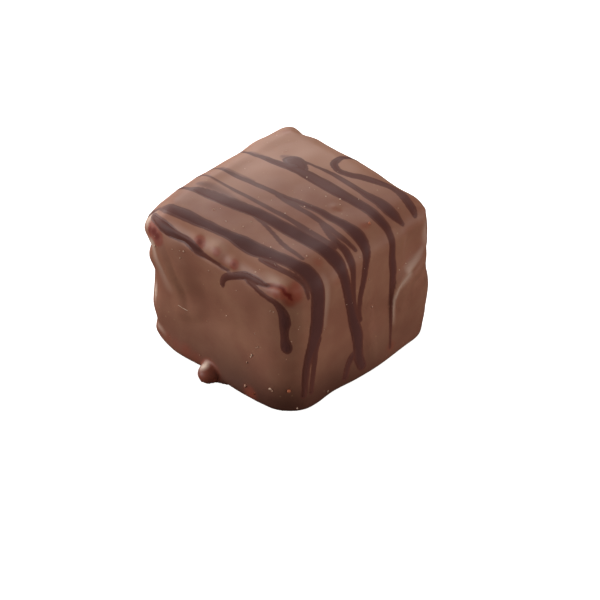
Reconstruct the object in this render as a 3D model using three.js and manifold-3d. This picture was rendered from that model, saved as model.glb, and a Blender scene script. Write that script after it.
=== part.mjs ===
// Dominostein: a bite-sized cake block under a milk chocolate coat, with dark chocolate drizzled over it.
// Millimetres, +Z up, origin in the middle of the underside.
// The strands of drizzle run along X: over the top and down the two X sides.
import * as THREE from "three";
import { mergeVertices } from "three/addons/utils/BufferGeometryUtils.js";
import Module from "manifold-3d";

// Block
const LENGTH = 25.6; // along X
const WIDTH = 26; // along Y
const HEIGHT = 20.2;
const UPRIGHT_RADIUS = 3.6; // rounding of the upright edges, seen from above
const SHOULDER_DROP = 2.9; // how far below the top its rounded shoulder begins
const BASE_RADIUS = 1; // the coat tucks in where it meets the ground
const CROWN = 0.6; // rise of the middle of the top
const BLOCK_STEPS = 16; // facets along each edge of the block
const EDGE_CROWDING = 1.5; // above 1, facets get finer towards the edges

// Drizzle
const BEAD_HEIGHT = 0.1; // what the thinnest strand stands proud of the coat
const BEAD_RISE = 0.08; // more height for each millimetre of width
const BEAD_SINK = 0.45; // depth of a strand's foot in the coat
const BEAD_SIDES = 8;
const BEAD_STEP = 1.7; // length of one facet along a strand
const STEPS_PER_STOP = 2; // a strand with close stops, such as a hook, gets shorter facets
const TIP_SHARE = 0.35; // width left at the very tip of a strand
const NUDGE = 0.05; // step for finding how the coat slopes under a strand

// Foot of chocolate that ran out at the base of the front
const FOOT = { at: [-0.6, -13.2, 0.7], radii: [1.45, 1.65, 1.3] };
const FOOT_SIDES = 14;
const FOOT_RINGS = 10;

// Where the coat ran thick or thin: a point on the surface, how far the coat moves there, and the reach.
const SWELLS = {
  frontLeftKnob: { at: [-11.6, -12.1, 16], by: [-0.45, -0.45, 0], reach: 3 },
  frontLeftShoulder: { at: [-11.4, -11.8, 19.2], by: [0.3, 0.3, -0.2], reach: 3 },
  frontLeftThroat: { at: [-11.6, -12.1, 14.5], by: [0.5, 0.5, 0], reach: 1.7 },
  frontLeftFold: { at: [-11.6, -12.1, 12.1], by: [-0.3, -0.3, 0], reach: 2.2 },
  frontLeftNeck: { at: [-11.6, -12.1, 8.2], by: [0.2, 0.2, 0], reach: 4.6 },
  frontLeftNotch: { at: [-11.6, -12.1, 2.8], by: [0.75, 0.75, 0], reach: 2 },
  frontLeftHeel: { at: [-11.8, -12.2, 0], by: [0.4, 0.4, 0], reach: 5 },
  frontLeftToe: { at: [-11.4, -11.9, 1.9], by: [-0.35, -0.35, 0], reach: 2.4 },
  leftEdgeFront: { at: [-11.9, -9.7, 19.2], by: [0.3, 0, -0.2], reach: 2.5 },
  leftEdgeMiddle: { at: [-11.9, -1.8, 19.2], by: [0.15, 0, -0.13], reach: 3 },
  leftEdgeBack: { at: [-11.9, 5.9, 19.2], by: [-0.15, 0, 0.13], reach: 2.6 },
  backLeftKnob: { at: [-11.6, 11.8, 18.6], by: [-0.35, 0.35, 0.15], reach: 2.4 },
  backLeftNick: { at: [-9.2, 12.2, 19.1], by: [0, -0.42, -0.22], reach: 2.4 },
  backEdgeDip: { at: [6.2, 12.3, 19.2], by: [0, -0.15, -0.1], reach: 3.6 },
  backRightNeck: { at: [12, 11.6, 12.6], by: [-0.1, -0.1, 0], reach: 3 },
  backRightNotch: { at: [12, 11.6, 10.3], by: [-0.42, -0.42, 0], reach: 1.8 },
  backRightBelly: { at: [12.1, 11.4, 7.4], by: [0.2, 0.2, 0], reach: 4 },
  backRightHeel: { at: [12, 11.6, 0.3], by: [-0.24, -0.24, 0], reach: 3.2 },
  frontRightKnob: { at: [11.2, -11.6, 18.8], by: [0.1, -0.4, 0.25], reach: 2.4 },
  frontRightHeel: { at: [11.8, -12.2, 0], by: [-0.45, 0.45, 0], reach: 5 },
  lipBumpLeft: { at: [-3.1, -12.6, 19.1], by: [0, -0.16, 0.12], reach: 1.4 },
  lipBumpMiddle: { at: [0.1, -12.6, 19], by: [0, -0.2, 0.16], reach: 1.7 },
  lipBumpRight: { at: [3, -12.5, 18.9], by: [0, -0.16, 0.1], reach: 1.4 },
  frontHollow: { at: [1, -13, 9], by: [0, 0.4, 0], reach: 8.5 },
  frontRunUpper: { at: [-8.2, -13, 13.8], by: [0, -0.4, 0], reach: 2.4 },
  frontRunLower: { at: [-6.6, -13, 10.8], by: [0, -0.4, 0], reach: 2.8 },
  frontGully: { at: [-5.2, -13, 10], by: [0, 0.3, 0], reach: 3.2 },
  frontFootLeft: { at: [-6, -13, 0.6], by: [0, -0.3, 0], reach: 4.5 },
  frontFootRight: { at: [3.4, -13, 0.6], by: [0, -0.25, 0], reach: 5 },
  rightHollow: { at: [12.8, 8.6, 15.6], by: [-0.35, 0, 0], reach: 4 },
  rightRun: { at: [12.8, 8.2, 9.6], by: [0.45, 0, 0], reach: 4.6 },
  rightLobe: { at: [12.8, 7, 11], by: [0.35, 0, 0], reach: 2.6 },
  rightGully: { at: [12.8, 1.8, 8], by: [-0.3, 0, 0], reach: 4 },
  rightFoot: { at: [12.8, 2, 0.6], by: [0.35, 0, 0], reach: 7 },
  rightFootFront: { at: [12.8, -5.4, 0.4], by: [-0.26, 0, 0], reach: 4 },
  backHollow: { at: [1, 13, 10], by: [0, -0.35, 0], reach: 8 },
  leftRun: { at: [-12.8, 5, 9], by: [-0.3, 0, 0], reach: 5 },
  leftHollow: { at: [-12.8, -4, 10], by: [0.35, 0, 0], reach: 5 },
};

// Strands as they would lie with the sides of the block unfolded flat round its top:
// place along X, place along Y, width. Beyond an edge of the top a strand runs down that side.
const STRANDS = {
  lip: [
    [-12.6, -14.4, 0.6], [-9.9, -14.4, 1.1], [-7.6, -14.6, 1.4], [-4.6, -14.4, 1], [-2.7, -14.9, 1.2],
    [-0.8, -15.1, 0.6], [2.7, -15.2, 0.3],
  ],
  hook: [
    [1.6, -18.1, 0.6], [1.9, -16.8, 0.7], [3.7, -15.4, 0.8], [6.1, -14.4, 0.9], [7.6, -14.3, 0.7],
    [9, -14, 0.3],
  ],
  drip: [
    [5.4, -15.1, 0.4], [7.9, -15.5, 0.6], [10.3, -15.9, 0.8], [11.6, -17.6, 1.2], [11.7, -20.2, 1],
    [12.3, -23, 1.4],
  ],
  frontBand: [
    [-27, -10.4, 1], [-19, -11, 1.3], [-12.2, -12, 0.4], [-9.6, -11.3, 1.3], [-5.8, -10.8, 1.6],
    [-0.9, -10.2, 1.4], [3, -9.9, 2], [6.9, -9.3, 1.8], [11.1, -8.4, 2], [14.3, -8.2, 2], [20, -8.5, 2.1],
    [24.8, -10, 1.1], [30.4, -10.4, 0.7],
  ],
  frontBandEdge: [[5.5, -10.7, 0.5], [8.8, -10.5, 0.6], [11.6, -10, 0.7], [15.6, -9.7, 0.3]],
  frontBandLeg: [[22.2, -7.9, 0.6], [24.4, -8.9, 0.9], [30.4, -9.2, 0.7]],
  middleBand: [
    [-30, -7.2, 1], [-22, -6.8, 1.3], [-14, -6.8, 0.9], [-10.4, -6.8, 0.5], [-7.6, -6.1, 1.4],
    [-3.3, -5.6, 1.6], [2.8, -4.8, 1.6], [10.3, -4.3, 1.9], [13.1, -4.1, 1.8], [17.5, -3.4, 1.3],
    [23.2, -2.1, 1.5], [27, -1.2, 1.7], [31.4, -0.5, 1.2],
  ],
  middleBandLeg: [[28.1, -1.9, 0.8], [29.3, -2.9, 1], [31.6, -3.5, 0.9]],
  diagonal: [[-0.3, -5.6, 0.4], [3.6, -6.4, 0.4], [9.6, -7.4, 0.4]],
  middleThread: [
    [-21, -3, 0.6], [-14, -3.8, 0.5], [-8.4, -3.5, 0.3], [-0.2, -3.5, 0.5], [6.6, -3.1, 0.6],
    [10.7, -3.1, 0.6],
  ],
  farThread: [
    [-27, -0.4, 0.7], [-19, -1.7, 0.7], [-11.6, -1.6, 0.3], [-5, -1.1, 0.6], [0, -0.6, 0.8], [4.7, 0.4, 1],
    [10.4, 0.7, 1.7], [14.1, 0.4, 1.2], [19.5, -0.9, 0.8], [24.1, -0.7, 0.5],
  ],
  farThreadTwin: [[-1.2, -1, 0.4], [4, -0.9, 0.6], [10.5, -1.2, 0.6], [13.1, -0.9, 0.4]],
  farThreadBranch: [[6.3, -1, 0.5], [10.2, -2.3, 0.8], [14, -2.3, 1], [18.7, -2.2, 0.6], [23, -1.5, 0.5]],
  backBand: [
    [-24.5, 4.4, 0.7], [-17.5, 3.6, 0.8], [-9.6, 3.4, 0.4], [-4.2, 4.1, 1.1], [1.7, 4.7, 1.8], [7.9, 5, 1.4],
    [12, 4.7, 1.1], [19.1, 4.6, 1.1], [22.6, 4.4, 0.6], [31, 4.3, 0.5],
  ],
  backThread: [[-4.4, 5.9, 0.5], [-2.2, 6.5, 0.4], [5.2, 6.9, 0.7], [10, 6.8, 1.6], [13.7, 7, 0.5]],
  backPool: [[-5.6, 5, 0.9], [-4.5, 5.6, 1.8], [-2.2, 4.9, 1]],
  backHook: [
    [0.6, 20, 0.8], [0, 15, 0.9], [-0.7, 11.2, 0.6], [-1, 9.3, 0.8], [0.6, 8, 0.7], [3.9, 9.2, 0.9],
    [7.9, 10.6, 1.2], [10.6, 9.9, 1.1], [13.6, 9.3, 0.6],
  ],
};

const wasm = await Module();
wasm.setup();

// Soft bump: 1 at the middle, 0 at the rim.
function falloff(distance, reach) {
  const t = Math.max(0, 1 - distance / reach);
  return t * t * (3 - 2 * t);
}

// Rounds the upright edges and the shoulder of the sharp block.
function roundEdges(p) {
  const reach = new THREE.Vector3(UPRIGHT_RADIUS, UPRIGHT_RADIUS, SHOULDER_DROP);
  const coreX = LENGTH / 2 - UPRIGHT_RADIUS;
  const coreY = WIDTH / 2 - UPRIGHT_RADIUS;
  const core = new THREE.Vector3(
    THREE.MathUtils.clamp(p.x, -coreX, coreX),
    THREE.MathUtils.clamp(p.y, -coreY, coreY),
    Math.min(p.z, HEIGHT - SHOULDER_DROP),
  );
  const out = p.clone().sub(core).divide(reach);
  const square = Math.max(Math.abs(out.x), Math.abs(out.y), Math.abs(out.z));
  if (square > 0) out.multiplyScalar(square / out.length());
  return core.add(out.multiply(reach));
}

// Draws the outline in towards the ground and lifts the middle of the top.
function tuckAndCrown(p) {
  const low = Math.max(0, BASE_RADIUS - p.z);
  const tuck = BASE_RADIUS - Math.sqrt(BASE_RADIUS ** 2 - low ** 2);
  const inward = 1 - (2 * tuck) / LENGTH;
  const middle = (1 - ((2 * p.x) / LENGTH) ** 2) * (1 - ((2 * p.y) / WIDTH) ** 2);
  const lift = CROWN * middle * THREE.MathUtils.smoothstep(p.z, HEIGHT - SHOULDER_DROP, HEIGHT);
  return new THREE.Vector3(p.x * inward, p.y * inward, p.z + lift);
}

// The coated surface over a point of the sharp block. The underside stays flat.
function coat(sharp) {
  const p = tuckAndCrown(roundEdges(sharp));
  const moved = p.clone();
  for (const { at, by, reach } of Object.values(SWELLS)) {
    const share = falloff(p.distanceTo(new THREE.Vector3(...at)), reach);
    moved.addScaledVector(new THREE.Vector3(...by), share);
  }
  if (sharp.z === 0) moved.z = 0;
  return moved;
}

// The coated surface at a place on the unfolded block.
function coatUnfolded(along, across) {
  const overX = Math.max(0, Math.abs(along) - LENGTH / 2);
  const overY = Math.max(0, Math.abs(across) - WIDTH / 2);
  const x = THREE.MathUtils.clamp(along, -LENGTH / 2, LENGTH / 2);
  const y = THREE.MathUtils.clamp(across, -WIDTH / 2, WIDTH / 2);
  return coat(new THREE.Vector3(x, y, HEIGHT - overX - overY));
}

const WELD = 1e-4; // vertices nearer than this are one

// Moves every vertex of a geometry and keeps its positions alone, merged into one closed surface.
function reshape(geometry, move) {
  const position = geometry.getAttribute("position");
  for (let i = 0; i < position.count; i++) {
    const p = move(new THREE.Vector3().fromBufferAttribute(position, i));
    position.setXYZ(i, p.x, p.y, p.z);
  }
  geometry.deleteAttribute("normal");
  geometry.deleteAttribute("uv");
  return mergeVertices(geometry, WELD);
}

// A closed solid for joining, from a merged geometry.
function solidOf(geometry) {
  const vertProperties = new Float32Array(geometry.getAttribute("position").array);
  const triVerts = new Uint32Array(geometry.index.array);
  return new wasm.Manifold(new wasm.Mesh({ numProp: 3, vertProperties, triVerts }));
}

// The joined solid's surface.
function geometryOf(solid) {
  const mesh = solid.getMesh();
  const geometry = new THREE.BufferGeometry();
  geometry.setAttribute("position", new THREE.BufferAttribute(mesh.vertProperties, 3));
  geometry.setIndex(new THREE.BufferAttribute(mesh.triVerts, 1));
  geometry.computeVertexNormals();
  return geometry;
}

// The block, with facets crowded towards its rounded edges.
function coatedBlock() {
  const crowd = (share) => Math.sign(share) * (1 - (1 - Math.abs(share)) ** EDGE_CROWDING);
  const half = new THREE.Vector3(LENGTH, WIDTH, HEIGHT).divideScalar(2);
  return reshape(new THREE.BoxGeometry(2, 2, 2, BLOCK_STEPS, BLOCK_STEPS, BLOCK_STEPS), (p) => {
    const sharp = new THREE.Vector3(crowd(p.x), crowd(p.y), crowd(p.z)).multiply(half);
    sharp.z += half.z;
    return coat(sharp);
  });
}

// The foot: a round blob, flat where it meets the ground.
function footBlob() {
  return reshape(new THREE.SphereGeometry(1, FOOT_SIDES, FOOT_RINGS), (p) => {
    const blob = p.multiply(new THREE.Vector3(...FOOT.radii)).add(new THREE.Vector3(...FOOT.at));
    return blob.setZ(Math.max(0, blob.z));
  });
}

// One strand: a flattened bead that follows its route over the coat, narrow at both tips.
function strand(stops) {
  const route = new THREE.CatmullRomCurve3(stops.map((stop) => new THREE.Vector3(...stop)));
  const length = route.getLength();
  const steps = Math.max(STEPS_PER_STOP * (stops.length - 1), Math.round(length / BEAD_STEP));
  return reshape(new THREE.CylinderGeometry(1, 1, 1, BEAD_SIDES, steps), (p) => {
    const share = p.y + 0.5;
    const { x: along, y: across, z: width } = route.getPointAt(share);
    const heading = route.getTangentAt(share).setZ(0).normalize().multiplyScalar(NUDGE);
    const ahead = coatUnfolded(along + heading.x, across + heading.y);
    const behind = coatUnfolded(along - heading.x, across - heading.y);
    const right = coatUnfolded(along + heading.y, across - heading.x);
    const left = coatUnfolded(along - heading.y, across + heading.x);
    const forward = ahead.sub(behind).normalize();
    const up = right.clone().sub(left).cross(forward).normalize();
    const side = forward.clone().cross(up);
    const fromTip = Math.min(share, 1 - share) * length;
    const taper = Math.max(TIP_SHARE, Math.sqrt(Math.min(1, fromTip / width)));
    const rise = p.z > 0 ? (BEAD_HEIGHT + BEAD_RISE * width) * taper : BEAD_SINK;
    return coatUnfolded(along, across)
      .addScaledVector(side, (p.x * width * taper) / 2)
      .addScaledVector(up, p.z * rise);
  });
}

function drizzledBlock() {
  const pieces = [coatedBlock(), footBlob(), ...Object.values(STRANDS).map(strand)];
  return geometryOf(pieces.map(solidOf).reduce((whole, piece) => whole.add(piece)));
}

const milkChocolate = new THREE.MeshStandardMaterial({ color: "#7a5443", roughness: 0.42, metalness: 0 });

const dominostein = new THREE.Group();
const chocolateCube = new THREE.Mesh(drizzledBlock(), milkChocolate);
chocolateCube.name = "chocolate_cube";
dominostein.add(chocolateCube);

export default dominostein;
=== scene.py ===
import math
import random

import bmesh
import bpy
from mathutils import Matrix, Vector
from mathutils.bvhtree import BVHTree
from mathutils.kdtree import KDTree


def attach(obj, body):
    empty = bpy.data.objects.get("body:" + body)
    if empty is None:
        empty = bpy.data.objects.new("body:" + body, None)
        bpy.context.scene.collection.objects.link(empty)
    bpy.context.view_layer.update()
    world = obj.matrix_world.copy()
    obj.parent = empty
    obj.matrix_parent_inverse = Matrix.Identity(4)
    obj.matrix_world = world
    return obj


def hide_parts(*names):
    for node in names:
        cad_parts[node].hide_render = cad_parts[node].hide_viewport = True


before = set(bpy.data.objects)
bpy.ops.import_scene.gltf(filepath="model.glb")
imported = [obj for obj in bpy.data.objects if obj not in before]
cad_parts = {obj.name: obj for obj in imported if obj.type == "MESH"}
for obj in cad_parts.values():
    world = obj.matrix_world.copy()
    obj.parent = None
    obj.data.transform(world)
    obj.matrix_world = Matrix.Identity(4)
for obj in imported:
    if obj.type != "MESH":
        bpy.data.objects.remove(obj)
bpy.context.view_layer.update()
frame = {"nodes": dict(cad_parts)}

mm = 0.001  # sizes below are in millimetres
print("frame loaded:", ", ".join(frame["nodes"]))


# handling

def startFresh():
    if bpy.context.object and bpy.context.object.mode != "OBJECT":
        bpy.ops.object.mode_set(mode="OBJECT")
    bpy.ops.object.select_all(action="DESELECT")


def pick(piece):
    startFresh()
    piece.select_set(True)
    bpy.context.view_layer.objects.active = piece


def modify(piece, kind, **settings):
    pick(piece)
    modifier = piece.modifiers.new(kind.title(), kind)
    for name, value in settings.items():
        setattr(modifier, name, value)
    bpy.ops.object.modifier_apply(modifier=modifier.name)


def bevelWhere(piece, test, offset, steps):
    pick(piece)
    bpy.ops.object.mode_set(mode="EDIT")
    bpy.ops.mesh.select_mode(type="EDGE")
    bpy.ops.mesh.select_all(action="DESELECT")
    shape = bmesh.from_edit_mesh(piece.data)
    for edge in shape.edges:
        edge.select_set(test(edge.verts[0].co, edge.verts[1].co))
    bpy.ops.mesh.bevel(offset=offset * mm, offset_type="OFFSET", segments=steps, profile=0.5,
                       affect="EDGES", clamp_overlap=False)
    bpy.ops.object.mode_set(mode="OBJECT")


def join(pieces):  # all of them into the first
    startFresh()
    for piece in pieces:
        piece.select_set(True)
    bpy.context.view_layer.objects.active = pieces[0]
    bpy.ops.object.join()


def melt(piece, voxel, smoothing):  # one closed skin over all of it, softened
    modify(piece, "REMESH", mode="VOXEL", voxel_size=voxel * mm)
    modify(piece, "SMOOTH", factor=0.5, iterations=smoothing)


def shadeSmooth(piece):
    pick(piece)
    bpy.ops.object.shade_smooth()


def clamp(value, most):  # no further than most, either way
    return max(-most, min(most, value))


def ease(low, high, value):  # 0 below low, 1 above high, smooth between
    share = min(1, max(0, (value - low) / (high - low)))
    return share * share * (3 - 2 * share)


def weigh(piece, name, weights):  # a vertex group, one weight a vertex
    group = piece.vertex_groups.new(name=name)
    for index, weight in enumerate(weights):
        group.add([index], weight, "REPLACE")
    return name


def paint(piece, name, values):  # numbers for the materials, one a vertex
    attribute = piece.data.attributes.new(name, "FLOAT", "POINT")
    attribute.data.foreach_set("value", values)


def treeOf(piece):
    corners = [vertex.co for vertex in piece.data.vertices]
    return BVHTree.FromPolygons(corners, [face.vertices for face in piece.data.polygons])


def finderOf(piece):
    finder = KDTree(len(piece.data.vertices))
    for vertex in piece.data.vertices:
        finder.insert(vertex.co, vertex.index)
    finder.balance()
    return finder


# the coated block

block = {
    "length": 25.6,
    "width": 26.0,
    "height": 20.2,
    "uprightRadius": 3.6,
    "shoulderDrop": 2.9,
    "baseRadius": 1.0,
    "bevelGap": 0.05,  # the shoulder's bevel is this much smaller, so that the corners don't pinch
    "roundSteps": 10,
    "voxel": 0.21,
    "smoothing": 8,
}

# lumps of chocolate at the base: middle, half sizes
lumps = {
    "foot": ((-0.6, -13.2, 0.7), (1.45, 1.65, 1.3)),
    "footRoot": ((0.1, -12.5, 0.4), (1.9, 0.75, 1.4)),
}
lumpSides = 32

# where the coat ran thick or thin: place on the surface, how far it moves there, reach
swells = {
    "crown": ((0, 0, 20.2), (0, 0, 0.6), 17),
    "frontLeftKnob": ((-11.6, -12.1, 16), (-0.45, -0.45, 0), 3),
    "frontLeftShoulder": ((-11.4, -11.8, 19.2), (0.3, 0.3, -0.2), 3),
    "frontLeftThroat": ((-11.6, -12.1, 14.5), (0.5, 0.5, 0), 1.7),
    "frontLeftFold": ((-11.6, -12.1, 12.1), (-0.3, -0.3, 0), 2.2),
    "frontLeftNeck": ((-11.6, -12.1, 8.2), (0.2, 0.2, 0), 4.6),
    "frontLeftNotch": ((-11.6, -12.1, 2.8), (0.75, 0.75, 0), 2),
    "frontLeftHeel": ((-11.8, -12.2, 0), (0.4, 0.4, 0), 5),
    "frontLeftToe": ((-11.4, -11.9, 1.9), (-0.35, -0.35, 0), 2.4),
    "leftEdgeFront": ((-11.9, -9.7, 19.2), (0.3, 0, -0.2), 2.5),
    "leftEdgeMiddle": ((-11.9, -1.8, 19.2), (0.15, 0, -0.13), 3),
    "leftEdgeBack": ((-11.9, 5.9, 19.2), (-0.15, 0, 0.13), 2.6),
    "backLeftKnob": ((-11.6, 11.8, 18.6), (-0.35, 0.35, 0.15), 2.4),
    "backLeftNick": ((-9.2, 12.2, 19.1), (0, -0.42, -0.22), 2.4),
    "backEdgeDip": ((6.2, 12.3, 19.2), (0, -0.15, -0.1), 3.6),
    "backRightKnob": ((11.7, 11.5, 18.9), (0.1, 0.1, 0.1), 1.3),
    "backRightCrease": ((11.9, 11.6, 17.6), (-0.24, -0.24, 0), 1),
    "backRightNeck": ((12, 11.6, 12.6), (-0.1, -0.1, 0), 3),
    "backRightNotch": ((12, 11.6, 10.3), (-0.42, -0.42, 0), 1.8),
    "backRightBelly": ((12.1, 11.4, 7.4), (0.2, 0.2, 0), 4),
    "backRightHeel": ((12, 11.6, 0.3), (-0.24, -0.24, 0), 3.2),
    "frontRightKnob": ((11.2, -11.6, 18.8), (0.1, -0.4, 0.25), 2.4),
    "frontRightHeel": ((11.8, -12.2, 0), (-0.45, 0.45, 0), 5),
    "lipBumpLeft": ((-3.1, -12.6, 19.1), (0, -0.16, 0.12), 1.4),
    "lipBumpMiddle": ((0.1, -12.6, 19), (0, -0.2, 0.16), 1.7),
    "lipBumpRight": ((3, -12.5, 18.9), (0, -0.16, 0.1), 1.4),
    "frontHollow": ((1, -13, 9), (0, 0.4, 0), 8.5),
    "frontRunUpper": ((-9.4, -13, 13.4), (0, -0.12, 0), 2.4),
    "frontRunLower": ((-8, -13, 9.4), (0, -0.12, 0), 2.6),
    "frontGully": ((-5.2, -13, 10), (0, 0.3, 0), 3.2),
    "frontFootLeft": ((-6, -13, 0.6), (0, -0.3, 0), 4.5),
    "frontFootRight": ((3.4, -13, 0.6), (0, -0.25, 0), 5),
    "rightHollow": ((12.8, 8.6, 15.6), (-0.35, 0, 0), 4),
    "rightRun": ((12.8, 8.2, 9.6), (0.45, 0, 0), 4.6),
    "rightGully": ((12.8, 1.8, 8), (-0.3, 0, 0), 4),
    "rightFoot": ((12.8, 2, 0.6), (0.35, 0, 0), 7),
    "rightFootFront": ((12.8, -5.4, 0.4), (-0.26, 0, 0), 4),
    "backHollow": ((1, 13, 10), (0, -0.35, 0), 8),
    "leftRun": ((-12.8, 5, 9), (-0.3, 0, 0), 5),
    "leftHollow": ((-12.8, -4, 10), (0.35, 0, 0), 5),
    "topPimple": ((5.4, 2.4, 20.6), (0, 0, 0.12), 1.1),
    "topPimpleSmall": ((10.2, 3.2, 20.1), (0.05, 0, 0.1), 0.8),
}


def roundOff(x, y, z):  # a point of the sharp block, on the rounded one
    reach = (block["uprightRadius"], block["uprightRadius"], block["shoulderDrop"])
    coreX = block["length"] / 2 - reach[0]
    coreY = block["width"] / 2 - reach[1]
    core = Vector((clamp(x, coreX), clamp(y, coreY), min(z, block["height"] - reach[2])))
    out = Vector((x, y, z)) - core
    out = Vector([part / span for part, span in zip(out, reach)])
    square = max(abs(part) for part in out)
    if square > 0:
        out *= square / out.length
    return core + Vector([part * span for part, span in zip(out, reach)])


def makeLump(place, radii):
    startFresh()
    bpy.ops.mesh.primitive_uv_sphere_add(segments=lumpSides, ring_count=lumpSides // 2, radius=1,
                                         location=Vector(place) * mm)
    lump = bpy.context.object
    lump.scale = Vector(radii) * mm
    bpy.ops.object.transform_apply(location=True, rotation=True, scale=True)
    return lump


def makeBlock():
    radius, steps = block["uprightRadius"], block["roundSteps"]
    stretch = radius / block["shoulderDrop"]  # the shoulder is rounded tall, then pressed down
    tall = block["height"] * stretch * mm
    startFresh()
    bpy.ops.mesh.primitive_cube_add(size=1, location=(0, 0, tall / 2))
    piece = bpy.context.object
    piece.scale = (block["length"] * mm, block["width"] * mm, tall)
    bpy.ops.object.transform_apply(location=True, rotation=True, scale=True)
    near = 0.1 * mm  # an edge this near the top or the ground is one of theirs
    bevelWhere(piece, lambda a, b: abs(a.z - b.z) > tall / 2, radius, steps)
    bevelWhere(piece, lambda a, b: min(a.z, b.z) > tall - near, radius - block["bevelGap"], steps)
    bevelWhere(piece, lambda a, b: max(a.z, b.z) < near, block["baseRadius"], steps // 2)
    bpy.ops.object.mode_set(mode="EDIT")
    bpy.ops.mesh.select_all(action="SELECT")
    bpy.ops.transform.resize(value=(1, 1, 1 / stretch), center_override=(0, 0, 0))
    bpy.ops.object.mode_set(mode="OBJECT")
    join([piece] + [makeLump(*lump) for lump in lumps.values()])
    melt(piece, block["voxel"], block["smoothing"])
    return piece


def pushOut(piece, moves):
    finder = finderOf(piece)
    pick(piece)
    bpy.ops.object.mode_set(mode="EDIT")
    bpy.ops.mesh.select_mode(type="VERT")
    shape = bmesh.from_edit_mesh(piece.data)
    shape.verts.ensure_lookup_table()
    for at, by, reach in moves:
        bpy.ops.mesh.select_all(action="DESELECT")
        shape.verts[finder.find(Vector(at) * mm)[1]].select_set(True)
        bpy.ops.transform.translate(value=Vector(by) * mm, use_proportional_edit=True,
                                    proportional_edit_falloff="SMOOTH", proportional_size=reach * mm,
                                    use_proportional_connected=False, use_proportional_projected=False)
    bpy.ops.object.mode_set(mode="OBJECT")


def onBlock(along, across):  # an unfolded place, folded back onto the rounded block
    endX, endY = block["length"] / 2, block["width"] / 2
    overX = max(0, abs(along) - endX)
    overY = max(0, abs(across) - endY)
    return roundOff(clamp(along, endX), clamp(across, endY), block["height"] - overX - overY)


def curveThrough(stops, share):  # smooth run through the stops, 0 to 1
    spot = share * (len(stops) - 1)
    start = min(int(spot), len(stops) - 2)
    t = spot - start
    second, third = Vector(stops[start]), Vector(stops[start + 1])
    first = Vector(stops[start - 1]) if start > 0 else second * 2 - third
    fourth = Vector(stops[start + 2]) if start + 2 < len(stops) else third * 2 - second
    slope = (third - first) / 2
    nextSlope = (fourth - second) / 2
    gap = third - second
    square = gap * 3 - slope * 2 - nextSlope
    cube = slope + nextSlope - gap * 2
    return second + t * (slope + t * (square + t * cube))


def evenRun(stops, step):  # points along a run at an even pace, and its length
    parts = 400  # fine enough to pace by
    fewest = 6  # so that a short one bends too
    fine = [curveThrough(stops, i / parts) for i in range(parts + 1)]
    gone = [0]
    for before, after in zip(fine, fine[1:]):
        gone.append(gone[-1] + (after.xy - before.xy).length)
    steps = max(fewest, round(gone[-1] / step))
    run = []
    at = 0
    for i in range(steps + 1):
        while at < parts and gone[at] < gone[-1] * i / steps:
            at += 1
        run.append(fine[at])
    return run, gone[-1]


# ridges and creases in the coat, laid out like the strands below: along X, along Y, reach, height
runs = {
    "frontFold": [
        (-10.4, -16.6, 1.5, 0.2), (-9, -17.5, 1.9, 0.45), (-7.6, -19.2, 2.2, 0.6),
        (-7, -20.7, 2.3, 0.62), (-6.3, -22.1, 2.3, 0.58), (-5.8, -23.7, 2.2, 0.48),
        (-5.4, -25.6, 2, 0.25),
    ],
    "frontApron": [
        (-6.6, -17.6, 2.8, 0.3), (-5.4, -19.6, 3.2, 0.46), (-4.6, -21.6, 3.2, 0.44), (-4, -24, 3, 0.28),
    ],
    "rightCurtain": [
        (18.6, 11, 1.1, 0.2), (19.8, 9.4, 1.1, 0.45), (20.3, 8, 1.1, 0.55), (20.8, 6.5, 1.1, 0.55),
        (21.5, 5.4, 1, 0.52), (22.7, 4.9, 1, 0.45), (24.4, 4.8, 0.9, 0.36), (26.3, 4.9, 0.9, 0.24),
        (28.3, 5, 0.9, 0.1),
    ],
    "rightLobe": [
        (20.2, 10.4, 1.6, 0.25), (21.2, 8.7, 2, 0.5), (21.8, 7.5, 2, 0.54), (22.6, 6.6, 2, 0.52),
        (23.8, 6.2, 2, 0.44), (25.4, 6, 2, 0.34), (27.5, 6.1, 2, 0.2),
    ],
    "rightSwell": [
        (22.6, 9.4, 2.4, 0.4), (24, 8.4, 2.6, 0.44), (26, 8, 2.7, 0.36), (29, 7.8, 2.4, 0.16),
    ],
    "rightRidge": [
        (13.5, 6.6, 1.2, 0.06), (15.5, 6.4, 1.3, 0.2), (17.5, 6.4, 1.2, 0.16), (19, 6.6, 1, 0.04),
    ],
    "middleRidge": [
        (17.4, 1.4, 1.3, 0.06), (19.4, 0.8, 1.4, 0.22), (22, 0.4, 1.4, 0.28), (25, 0.7, 1.3, 0.26),
        (28, 0.9, 1.3, 0.2), (31, 1.4, 1.2, 0.08),
    ],
    "frontBandRidge": [
        (12, -6, 1.3, 0.04), (15, -5.9, 1.4, 0.14), (18, -6.1, 1.4, 0.14), (22, -6.6, 1.3, 0.08),
    ],
    "lip": [
        (-8.5, -12.3, 1.8, 0.1), (-5.5, -12.5, 1.9, 0.3), (0, -12.5, 2, 0.36), (5, -12.5, 1.9, 0.3),
        (8.5, -12.3, 1.8, 0.1),
    ],
    "lipCrease": [
        (-6.8, -14.8, 0.6, -0.06), (-3.6, -14.9, 0.6, -0.14), (-1, -15.3, 0.6, -0.14),
        (3, -15.1, 0.5, -0.08),
    ],
    "knobCrease": [
        (8.7, -14.1, 0.6, -0.06), (9.8, -13.5, 0.6, -0.14), (11.3, -13.3, 0.6, -0.2),
        (12.1, -14, 0.6, -0.2), (13.4, -13.8, 0.6, -0.16), (14.7, -12.5, 0.5, -0.04),
    ],
    "leftKnobCrease": [
        (-12.6, -15.8, 0.6, -0.06), (-11.2, -16.8, 0.8, -0.2), (-9.8, -16.6, 0.6, -0.06),
    ],
}
runStep = 0.15


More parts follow.
